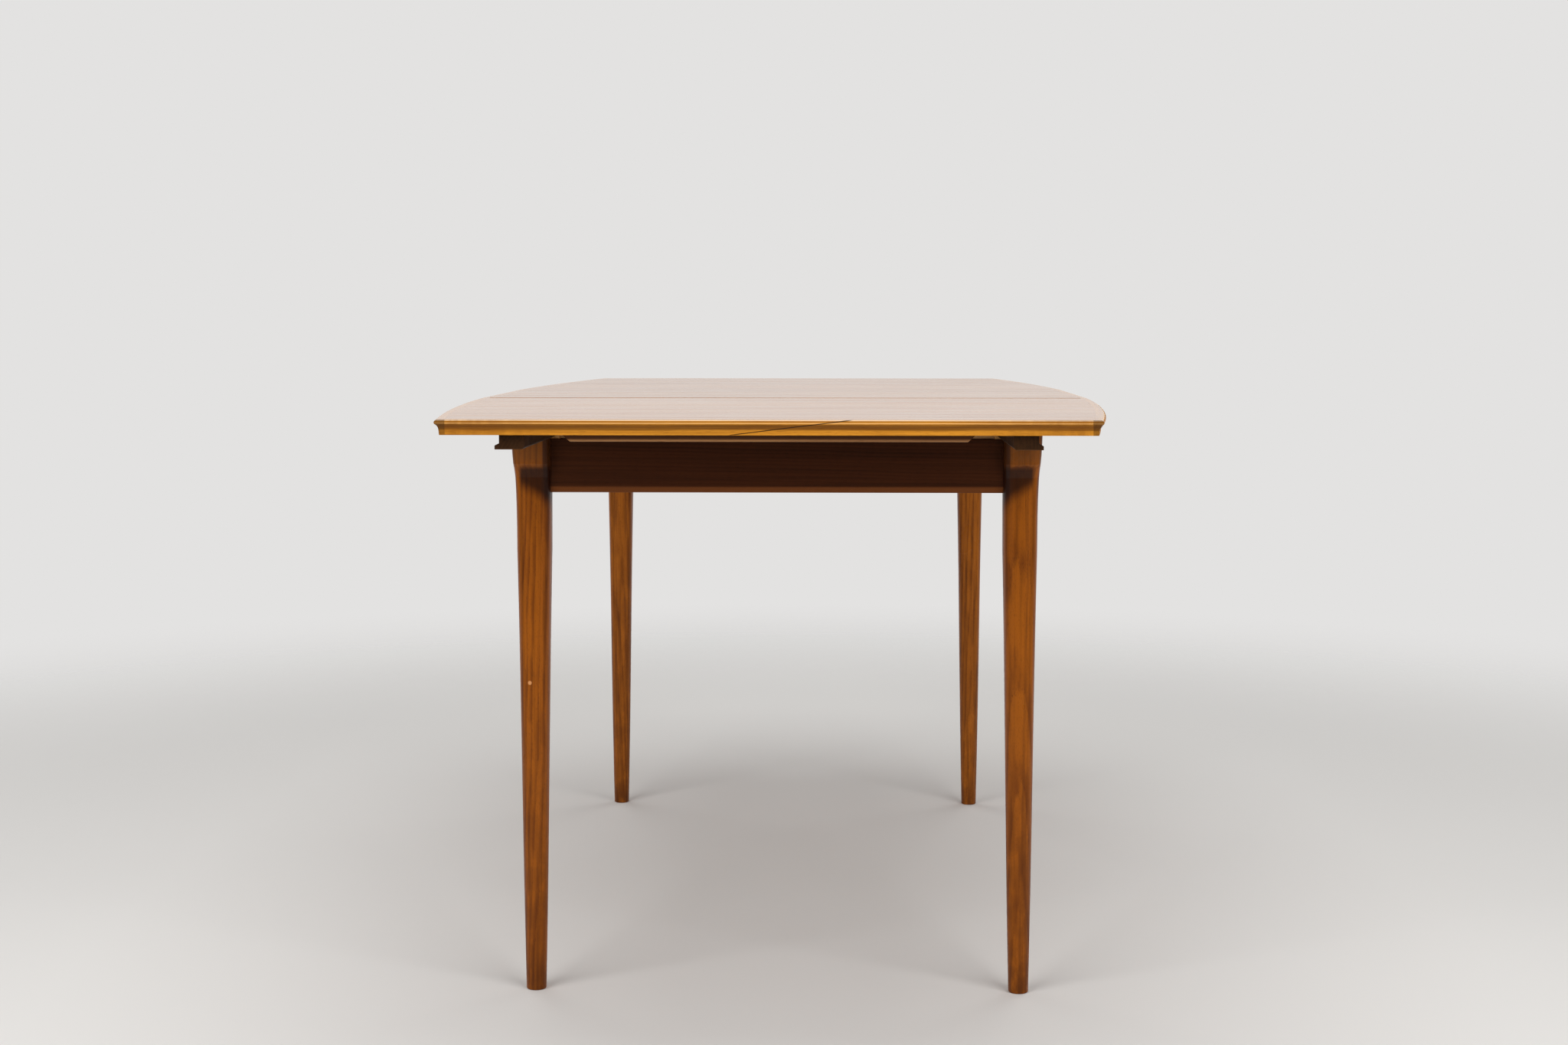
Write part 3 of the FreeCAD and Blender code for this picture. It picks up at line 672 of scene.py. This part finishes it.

# Solid teak strip, moulded on a spindle cutter and lacquered: warmer and more golden than the veneer. Its bands are
# painted light and shade: painted highlights on the arris and the nose, a darker painted band on the bevel and painted
# shade in the cove.
END_LIPPING = WoodFinish(
    name="teak_lipping_across",
    pale="#CF8A2A",
    dark="#A4651A",
    streak="#865012",
    pore="#5C300A",
    pith_mm=(-840.0, 690.0),
    lean=(0.004, 0.006),
    sway_mm=3.0,
    figure_mm=(150.0, 4.0),
    figure_share=0.5,
    roughness=0.4,
    specular=0.12,
    coat=1.0,
    coat_roughness=0.16,
    coat_from_mm=734.6,
    marks=(
        # Painted highlight along the arris.
        BandMark(colour="#F4D8B0", strength=0.75, middle_mm=734.25, half_width_mm=0.65, broken=0.2),
        # Painted shade on the bevel.
        BandMark(colour="#7C4A1A", strength=0.45, middle_mm=733.0, half_width_mm=1.1, broken=0.4),
        # Painted highlight along the nose.
        BandMark(colour="#F2BE7C", strength=0.6, middle_mm=731.2, half_width_mm=0.9, broken=0.3),
        # Painted shade in the cove, under the nose.
        BandMark(colour="#542C08", strength=0.72, middle_mm=726.3, half_width_mm=4.2, broken=0.1, wander_mm=0.9),
    ),
)
# The near end lipping grows darker towards its corners.
CORNER_DARKENING = tuple(
    EndMark(colour="#74400E", strength=0.45, axis=0, from_mm=side * 190.0, to_mm=side * 360.0) for side in (-1, 1)
)
SCARF_LINE = GlueLineMark(
    colour="#2C1808", strength=0.95, start_x_mm=-43.0, start_z_mm=717.7, run_mm=136.0, rise_mm=17.3, half_width_mm=0.75
)
NEAR_END_LIPPING = replace(
    END_LIPPING, name="teak_lipping_across_scarfed", marks=END_LIPPING.marks + CORNER_DARKENING + (SCARF_LINE,)
)
END_GRAIN = tuple(
    BandMark(colour="#54320F", strength=0.72, axis=1, middle_mm=y, half_width_mm=12.0, broken=0.2)
    for y in (-876.0, 876.0)
)
BOWED_LIPPING = replace(
    END_LIPPING,
    name="teak_lipping_bowed",
    grain=Grain.ALONG_TABLE,
    pith_mm=(44.0, 690.0),
    arc_mm=(5819.0, 10.6, 6251.0),
    marks=END_LIPPING.marks + END_GRAIN,
)
LEAF_LIPPING = replace(
    END_LIPPING,
    name="teak_lipping_leaf",
    grain=Grain.ALONG_TABLE,
    pith_mm=(380.0, 690.0),
    marks=END_LIPPING.marks + JOINT_LINES,
)
JOINT_LIPPING = replace(
    END_LIPPING, name="teak_joint_lipping", pale="#A86A2E", dark="#844A1C", pith_mm=(150.0, 690.0), marks=()
)

# Solid legs, turned and shaped by hand, stained golden brown with a dull old finish: close grain with arches where the
# taper cuts the rings, darker and scuffed at the foot. Their heads carry a painted sheen, painted shadow in the hollow
# beneath and painted shade on the inner side.
LEG = WoodFinish(
    name="teak_leg",
    grain=Grain.UPRIGHT,
    pale="#94500E",
    dark="#5E2C06",
    streak="#4A2304",
    pore="#341804",
    ring_mm=7.0,
    lean=(0.07, 0.015),
    sway_mm=7.0,
    ring_share=0.75,
    streak_share=0.5,
    pore_mm=(4.0, 0.5),
    figure_mm=(70.0, 13.0),
    figure_share=0.45,
    roughness=0.32,
    specular=0.15,
    marks=(
        EndMark(colour="#4A2206", strength=0.35, from_mm=460.0, to_mm=100.0),
        EndMark(colour="#3E1C06", strength=0.5, from_mm=60.0, to_mm=0.0),
        # Painted sheen: a greyish band over the leg's head, for the pale room mirrored in its flat face.
        BandMark(colour="#6E4C2E", strength=0.4, middle_mm=692.0, half_width_mm=36.0, broken=0.0),
        # Painted shadow in the hollow under the head.
        HollowShadowMark(colour="#240C02", strength=0.9),
        # Painted shade on the inner side of the head.
        InnerSideShadeMark(colour="#28120A", strength=0.75),
    ),
)
# The far legs are painted lighter than the near ones, as painted light for the more light they had.
FAR_LEG = replace(LEG, pale="#A65E18", dark="#6E380A")

# How far the heart of its tree lies beside each leg, along and across the table. No two legs show the same figure.
LEG_HEARTS_MM = {
    "near_left": (25.0, 58.0),
    "near_right": (62.0, 6.0),
    "far_left": (-50.0, 44.0),
    "far_right": (34.0, 66.0),
}
CHIP = ChipMark(colour="#C98C58", strength=0.9, centre_mm=(-308.5, -558.0, 391.0), size_mm=(2.4, 9.0, 2.5))

# Rails of stained hardwood, straight-grained and duller than the legs. Their colour is darker than the stain alone, as
# painted shade under the top, and a paler band along their lower edge is a painted highlight.
END_RAIL = WoodFinish(
    name="hardwood_end_rail_stain_painted_shade",
    pale="#42200C",
    dark="#2D1406",
    streak="#241005",
    pore="#1A0A04",
    ring_mm=4.5,
    pith_mm=(-500.0, 560.0),
    sway_mm=5.0,
    specular=0.1,
    # Painted highlight: a paler band along the lower bevel, for the floor's light.
    marks=(BandMark(colour="#74401A", strength=0.8, middle_mm=632.0, half_width_mm=6.5, broken=0.0),),
)
SIDE_RAIL = replace(END_RAIL, name="hardwood_side_rail_stain_painted_shade", grain=Grain.ALONG_TABLE)

# Planed beech, left bare inside the frame: pale pink-brown with short dark flecks, dry to the touch.
BEECH_ACROSS = WoodFinish(
    name="beech_planed_across",
    pale="#C9A273",
    dark="#B08457",
    streak="#A0744A",
    pore="#7A5230",
    ring_mm=6.0,
    pith_mm=(30.0, 600.0),
    ring_share=0.4,
    streak_share=0.2,
    pore_mm=(2.6, 0.5),
    roughness=0.65,
)
BEECH_UPRIGHT = replace(BEECH_ACROSS, name="beech_dowel", grain=Grain.UPRIGHT)
# The glides are painted paler than the beech, as painted light on pieces that sit in shade.
GLIDE = replace(BEECH_ACROSS, name="beech_glide_waxed", pale="#E2AE6C", dark="#C88A48", roughness=0.5)

# Dense dark hardwood for what slides, waxed, and paler along a band at its lower edge.
RUNNER = WoodFinish(
    name="hardwood_runner_waxed",
    grain=Grain.ALONG_TABLE,
    pale="#35200F",
    dark="#221307",
    streak="#1C0F06",
    pore="#120904",
    pith_mm=(200.0, 650.0),
    ring_share=0.5,
    specular=0.1,
    marks=(BandMark(colour="#5E3C20", strength=0.5, middle_mm=700.9, half_width_mm=1.2, broken=0.4),),
)
STRIP = replace(RUNNER, name="hardwood_guide_strip", pale="#5A3822", dark="#3C2415", marks=())
BATTEN = replace(
    RUNNER,
    name="hardwood_batten",
    grain=Grain.ACROSS_TABLE,
    pale="#A87848",
    dark="#835530",
    streak="#6E4524",
    pore="#4A2C14",
    specular=0.2,
    # Painted shade: a dark band over the upper part of the batten's sides, under the board.
    marks=(BandMark(colour="#3A1A06", strength=0.9, middle_mm=715.3, half_width_mm=4.9, broken=0.0),),
)
LEAF_BATTEN = replace(BATTEN, name="hardwood_leaf_batten", marks=())

# The sheet under each board, a cheaper veneer pressed on to balance the face: thin lacquer, dull and even.
BACKING_VENEER = WoodFinish(
    name="mahogany_backing_veneer",
    pale="#9A6238",
    dark="#7A4825",
    streak="#6A3C1E",
    pore="#4A2812",
    ring_mm=9.0,
    pith_mm=(60.0, 660.0),
    ring_share=0.3,
    streak_share=0.35,
    pore_mm=(5.0, 0.5),
    roughness=0.6,
    coat=0.05,
    leaf_mm=230.0,
)
BLOCKBOARD = replace(
    BEECH_ACROSS, name="blockboard_core_pine", pale="#D0B07C", dark="#B58D56", grain=Grain.ALONG_TABLE
)

# How copies of the solids are cleaned, eased and shaded.
WELD_REACH = 1e-6
FLAT_ANGLE = math.radians(0.5)
SHARP_ANGLE = math.radians(25)
SMOOTH_ANGLE = math.radians(35)


def only(piece: bpy.types.Object) -> None:
    """Makes a piece the only selected and the active object."""
    bpy.ops.object.select_all(action="DESELECT")
    piece.select_set(True)
    bpy.context.view_layer.objects.active = piece


def new_piece(name: str, mesh: bpy.types.Mesh) -> bpy.types.Object:
    """Puts a mesh into the scene as a piece at the origin."""
    piece = bpy.data.objects.new(name, mesh)
    bpy.context.scene.collection.objects.link(piece)
    return piece


@dataclass
class SubAssembly:
    """A part of the table that moves as one body and dresses its own pieces.

    Attributes:
        body: The body's name.
        easing: How far the rounding of an eased edge reaches.
    """

    body: str
    easing: float = 0.0006

    def finish(self, wood: WoodFinish | ScrewSteelFinish) -> bpy.types.Material:
        """Gives the material of a finish, made once for the whole scene."""
        return bpy.data.materials.get(wood.name) or wood.material()

    def dress(self, node: str, wood: WoodFinish | ScrewSteelFinish) -> None:
        """Gives a carried-over solid its finish.

        Args:
            node: The solid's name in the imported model.
            wood: The finish that it takes.
        """
        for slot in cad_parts[node].material_slots:
            slot.material = self.finish(wood)
        LOG.info("%s: %s wears %s", self.body, node, wood.name)

    def merged(self, node: str, suffix: str) -> bpy.types.Object:
        """Copies a solid's loose triangles into one closed mesh with whole flat faces, left in edit mode.

        Args:
            node: The solid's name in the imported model.
            suffix: What the copy's name ends with.

        Returns:
            The copy.
        """
        piece = new_piece(f"{node}_{suffix}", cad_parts[node].data.copy())
        only(piece)
        bpy.ops.object.mode_set(mode="EDIT")
        bpy.ops.mesh.select_all(action="SELECT")
        bpy.ops.mesh.customdata_custom_splitnormals_clear()
        bpy.ops.mesh.remove_doubles(threshold=WELD_REACH)
        bpy.ops.mesh.dissolve_limited(angle_limit=FLAT_ANGLE)
        return piece

    def eased(self, node: str, slot: str, wood: WoodFinish, shortest: float) -> None:
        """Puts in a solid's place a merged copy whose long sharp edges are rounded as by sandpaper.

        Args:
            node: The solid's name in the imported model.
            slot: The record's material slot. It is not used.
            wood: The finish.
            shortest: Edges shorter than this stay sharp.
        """
        piece = self.merged(node, "eased")
        bpy.ops.mesh.select_mode(type="EDGE")
        bpy.ops.mesh.select_all(action="DESELECT")
        shape = bmesh.from_edit_mesh(piece.data)
        for edge in shape.edges:
            sharp = edge.is_manifold and edge.is_convex and edge.calc_face_angle() > SHARP_ANGLE
            edge.select_set(sharp and edge.calc_length() >= shortest)
        bmesh.update_edit_mesh(piece.data)
        bpy.ops.mesh.bevel(offset=self.easing, segments=2, profile=0.5, affect="EDGES", clamp_overlap=True)
        bpy.ops.object.mode_set(mode="OBJECT")
        bpy.ops.object.shade_smooth_by_angle(angle=SMOOTH_ANGLE)
        weighted = piece.modifiers.new("flat_faces_first", "WEIGHTED_NORMAL")
        weighted.keep_sharp = True
        bpy.ops.object.modifier_apply(modifier=weighted.name)
        self.place(piece, node, slot, wood)

    def place(self, piece: bpy.types.Object, node: str, slot: str, wood: WoodFinish) -> None:
        """Puts a finished copy in the place of its solid.

        Args:
            piece: The finished copy.
            node: The solid that it stands for.
            slot: The record's material slot. It is not used.
            wood: The finish.
        """
        piece.data.materials.clear()
        piece.data.materials.append(self.finish(wood))
        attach(piece, self.body)
        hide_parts(node)
        LOG.info("%s: %s has %d faces", self.body, piece.name, len(piece.data.polygons))


@dataclass
class Underframe(SubAssembly):
    """Four legs, the rails between them, and what ties and guides the sliding halves."""

    body: str = "underframe"
    easing: float = 0.0008
    leg_x_mm: float = 304.0
    leg_y_mm: float = 540.0
    rail_shortest: float = 0.05

    def build(self) -> None:
        """Dresses the legs and puts eased rails in place."""
        for end, y in (("near", -self.leg_y_mm), ("far", self.leg_y_mm)):
            for side, x in (("left", -self.leg_x_mm), ("right", self.leg_x_mm)):
                corner = f"{end}_{side}"
                self.dress(f"leg_{corner}", self.leg_finish(corner, x, y))
                self.dress(f"corner_block_{corner}", BEECH_ACROSS)
                self.dress(f"runner_glide_{corner}", GLIDE)
            self.eased(f"end_rail_{end}", "rail_teak", END_RAIL, self.rail_shortest)
            self.dress(f"cross_rail_{end}", BEECH_ACROSS)
        for side in ("left", "right"):
            self.eased(f"side_rail_{side}", "rail_teak", SIDE_RAIL, self.rail_shortest)
            self.dress(f"guide_strip_{side}", STRIP)
        self.dress("corner_block_screws", ScrewSteelFinish())

    def leg_finish(self, corner: str, x: float, y: float) -> WoodFinish:
        """Cuts each leg from its own place in the tree.

        Args:
            corner: Which corner of the table it stands at, as in "near_left".
            x: The leg's place across the table, in millimetres.
            y: The leg's place along the table, in millimetres.

        Returns:
            The leg's own finish.
        """
        leg = LEG if corner.startswith("near") else FAR_LEG
        marks = leg.marks + ((CHIP,) if corner == "near_left" else ())
        heart_y, heart_x = LEG_HEARTS_MM[corner]
        return replace(leg, name=f"teak_leg_{corner}", pith_mm=(y + heart_y, heart_x - x), marks=marks)


@dataclass
class BoardParts(SubAssembly):
    """What the two halves and the leaf share: a veneered board with moulded edges."""

    prefix: str = ""
    side_wood: WoodFinish = BOWED_LIPPING

    def node(self, part: str) -> str:
        """Names one of the board's own solids."""
        return f"{self.prefix}_{part}"

    def dress_board(self) -> None:
        """Dresses the core, the veneer below and the sides."""
        self.dress(self.node("core"), BLOCKBOARD)
        self.dress(self.node("backing_veneer"), BACKING_VENEER)
        for side in ("left", "right"):
            self.dress(self.node(f"side_lipping_{side}"), self.side_wood)
        self.dress(self.node("batten_screws"), ScrewSteelFinish())


@dataclass
class HalfBoard(BoardParts):
    """One half of the top with its runners, battens and pegs."""

    runner_shortest: float = 0.015
    batten_shortest: float = 0.02

    def build(self) -> None:
        """Dresses the half and eases what slides."""
        self.dress_board()
        self.dress(self.node("face_veneer"), FACE_VENEERS[self.prefix])
        if self.prefix == "near":
            for side in ("left", "right"):
                self.dress(self.node(f"end_lipping_{side}"), NEAR_END_LIPPING)
        else:
            self.dress(self.node("end_lipping"), END_LIPPING)
        self.dress(self.node("joint_lipping"), JOINT_LIPPING)
        for side in ("left", "right"):
            self.eased(self.node(f"runner_{side}"), "runner_hardwood", RUNNER, self.runner_shortest)
        for part in ("end_batten", "inner_batten"):
            self.eased(self.node(part), "batten_hardwood", BATTEN, self.batten_shortest)
        self.dress(self.node("runner_screws"), ScrewSteelFinish())
        self.dress(self.node("stop_pegs"), BEECH_UPRIGHT)


@dataclass
class LeafBoard(BoardParts):
    """The loose leaf with its two locating battens."""

    body: str = "leaf"
    prefix: str = "leaf"
    side_wood: WoodFinish = LEAF_LIPPING
    batten_shortest: float = 0.02
    step: float = 0.0003

    def build(self) -> None:
        """Dresses the leaf, eases its battens and lets its face stand a hair above the halves."""
        self.dress_board()
        self.raised_face()
        for end in ("far", "near"):
            self.dress(self.node(f"joint_lipping_{end}"), JOINT_LIPPING)
            self.eased(self.node(f"batten_{end}"), "batten_hardwood", LEAF_BATTEN, self.batten_shortest)

    def raised_face(self) -> None:
        """Thickens the leaf's face veneer upwards by the small step that shows as a line along each joint."""
        piece = self.merged(self.node("face_veneer"), "raised")
        top = max(vertex.co.z for vertex in piece.data.vertices)
        bpy.ops.mesh.select_mode(type="VERT")
        bpy.ops.mesh.select_all(action="DESELECT")
        shape = bmesh.from_edit_mesh(piece.data)
        for vertex in shape.verts:
            vertex.select_set(vertex.co.z > top - self.step)
        bmesh.update_edit_mesh(piece.data)
        bpy.ops.transform.translate(value=(0.0, 0.0, self.step))
        bpy.ops.object.mode_set(mode="OBJECT")
        bpy.ops.object.shade_smooth_by_angle(angle=SMOOTH_ANGLE)
        self.place(piece, self.node("face_veneer"), "face_veneer_teak", FACE_VENEERS["leaf"])


@dataclass
class Studio:
    """A plain pale floor, soft light from both sides and the photograph's viewing angle."""

    focal_pixels: float = 2873.0
    sensor_mm: float = 36.0
    eye: Triple = (0.0810, -3.2886, 0.8442)
    turn: float = 0.0261
    look_down: float = 0.0349
    middle_row: float = 519.1
    clip: Pair = (0.05, 100.0)
    floor_radius: float = 9.0
    floor_sides: int = 128
    floor_roughness: float = 0.95
    floor_specular: float = 0.1
    fade_from: float = 1.4
    fade_to: float = 3.3
    floor_colour: str = "#E7E5E2"
    backdrop_colour: str = "#E3E2E1"
    dim_side: float = 0.3
    dim_edge: float = 0.5
    ambient: float = 0.15
    key_place: Triple = (2.2, -3.1, 1.85)
    key_size: float = 2.4
    key_power: float = 78.0
    fill_share: float = 0.35
    aim: Triple = (0.0, 0.0, 0.5)
    ceiling_height: float = 3.5
    ceiling_size: float = 3.0
    ceiling_power: float = 50.0
    glow: float = 1.1
    glow_edge: float = 0.8
    glow_full: float = 0.97

    def build(self) -> None:
        """Makes the floor, the lights, the world and the camera."""
        self.floor()
        self.lamps()
        self.world()
        self.camera()

    def floor(self) -> None:
        """Lays a pale floor that fades into the backdrop far from the table and is clear when seen from below."""
        bpy.ops.object.select_all(action="DESELECT")
        bpy.ops.mesh.primitive_circle_add(vertices=self.floor_sides, radius=self.floor_radius, fill_type="NGON")
        floor = bpy.context.active_object
        floor.name = "studio_floor"
        material, tree, shader = new_material("studio_floor_matt")
        shader.inputs["Base Color"].default_value = linear(self.floor_colour)
        shader.inputs["Roughness"].default_value = self.floor_roughness
        shader.inputs["Specular IOR Level"].default_value = self.floor_specular
        seen = add_node(tree, "ShaderNodeTexCoord").outputs["Object"]
        canvas = Canvas(tree, seen)
        fade = canvas.window(canvas.length(seen), self.fade_from, self.fade_to)
        below = add_node(tree, "ShaderNodeNewGeometry").outputs["Backfacing"]
        clear = add_node(tree, "ShaderNodeBsdfTransparent")
        inputs = {0: canvas.math("MAXIMUM", fade, below), 1: shader.outputs[0], 2: clear.outputs[0]}
        mix = add_node(tree, "ShaderNodeMixShader", None, inputs)
        tree.links.new(mix.outputs[0], tree.nodes["Material Output"].inputs["Surface"])
        floor.data.materials.append(material)

    def lamps(self) -> None:
        """Sets a low soft lamp at each side behind the camera, weaker ones opposite, and a broad one overhead."""
        side, back, height = self.key_place
        for name, x, y, share in (
            ("key_left", -side, back, 1.0),
            ("key_right", side, back, 1.0),
            ("fill_left", -side, -back, self.fill_share),
            ("fill_right", side, -back, self.fill_share),
        ):
            self.lamp(name, Vector((x, y, height)), self.key_size, self.key_power * share)
        self.lamp("ceiling", Vector((0.0, 0.0, self.ceiling_height)), self.ceiling_size, self.ceiling_power)

    def lamp(self, name: str, place: Vector, size: float, power: float) -> None:
        """Hangs one square lamp that faces the table. Shiny faces don't mirror it: they mirror the room's own glow.

        Args:
            name: The lamp's name.
            place: Its middle.
            size: The length of its side.
            power: Its power in watts.
        """
        light = bpy.data.lights.new(name, "AREA")
        light.shape = "SQUARE"
        light.size = size
        light.energy = power
        lamp = bpy.data.objects.new(name, light)
        bpy.context.scene.collection.objects.link(lamp)
        lamp.location = place
        lamp.rotation_euler = (Vector(self.aim) - place).to_track_quat("-Z", "Y").to_euler()
        lamp.visible_glossy = False

    def world(self) -> None:
        """Gives an even soft world that the camera sees as the pale backdrop.

        Shiny faces see the same pale backdrop beyond the table. On the photographer's side they see a dimmer room with
        a soft glow where each lamp hangs.
        """
        world = bpy.data.worlds.new("studio_world")
        bpy.context.scene.world = world
        world.use_nodes = True
        tree = world.node_tree
        tree.nodes.clear()
        pale = linear(self.backdrop_colour)
        dim = tuple(self.dim_side * part for part in pale[:3]) + (1.0,)
        soft = add_node(tree, "ShaderNodeBackground", None, {"Color": (1.0, 1.0, 1.0, 1.0), "Strength": self.ambient})
        seen = add_node(tree, "ShaderNodeBackground", None, {"Color": pale})
        way = add_node(tree, "ShaderNodeTexCoord").outputs["Generated"]
        canvas = Canvas(tree, way)
        x, y, z = canvas.axes(way)
        room = canvas.blend(canvas.window(y, -self.dim_edge, self.dim_edge), dim, pale)
        inputs = {0: canvas.vector(canvas.math("ABSOLUTE", x), y, z), 1: Vector(self.key_place).normalized()}
        facing = add_node(tree, "ShaderNodeVectorMath", {"operation": "DOT_PRODUCT"}, inputs).outputs["Value"]
        glow = canvas.times(canvas.window(facing, self.glow_edge, self.glow_full), self.glow)
        adding = {"data_type": "RGBA", "blend_type": "ADD", "clamp_result": False}
        lit_room = add_node(tree, "ShaderNodeMix", adding, {0: 1.0, 6: room, 7: glow}).outputs[2]
        mirrored = add_node(tree, "ShaderNodeBackground", None, {"Color": lit_room})
        path = add_node(tree, "ShaderNodeLightPath").outputs
        shiny = canvas.math("MAXIMUM", path["Is Glossy Ray"], path["Is Transmission Ray"])
        inputs = {0: shiny, 1: soft.outputs[0], 2: mirrored.outputs[0]}
        lit = add_node(tree, "ShaderNodeMixShader", None, inputs)
        inputs = {0: path["Is Camera Ray"], 1: lit.outputs[0], 2: seen.outputs[0]}
        mix = add_node(tree, "ShaderNodeMixShader", None, inputs)
        add_node(tree, "ShaderNodeOutputWorld", None, {"Surface": mix.outputs[0]})

    def camera(self) -> None:
        """Sets the camera that the photograph was taken with, nearly level and shifted down to the table."""
        width, height = PHOTO_SIZE
        lens = bpy.data.cameras.new("photo_camera")
        lens.sensor_fit = "HORIZONTAL"
        lens.sensor_width = self.sensor_mm
        lens.lens = self.focal_pixels / width * self.sensor_mm
        lens.shift_y = (self.middle_row - height / 2) / width
        lens.clip_start, lens.clip_end = self.clip
        camera = bpy.data.objects.new("photo_camera", lens)
        bpy.context.scene.collection.objects.link(camera)
        camera.location = self.eye
        camera.rotation_euler = (math.pi / 2 - self.look_down, 0.0, self.turn)
        bpy.context.scene.camera = camera
        bpy.context.scene.view_settings.view_transform = "Standard"


def main() -> None:
    """Builds the studio, then the sub-assemblies in order."""
    logging.basicConfig(level=logging.INFO, format="%(name)s %(message)s")
    Studio().build()
    Underframe().build()
    HalfBoard(body="near_half", prefix="near").build()
    HalfBoard(body="far_half", prefix="far").build()
    LeafBoard().build()


if __name__ == "__main__":
    main()
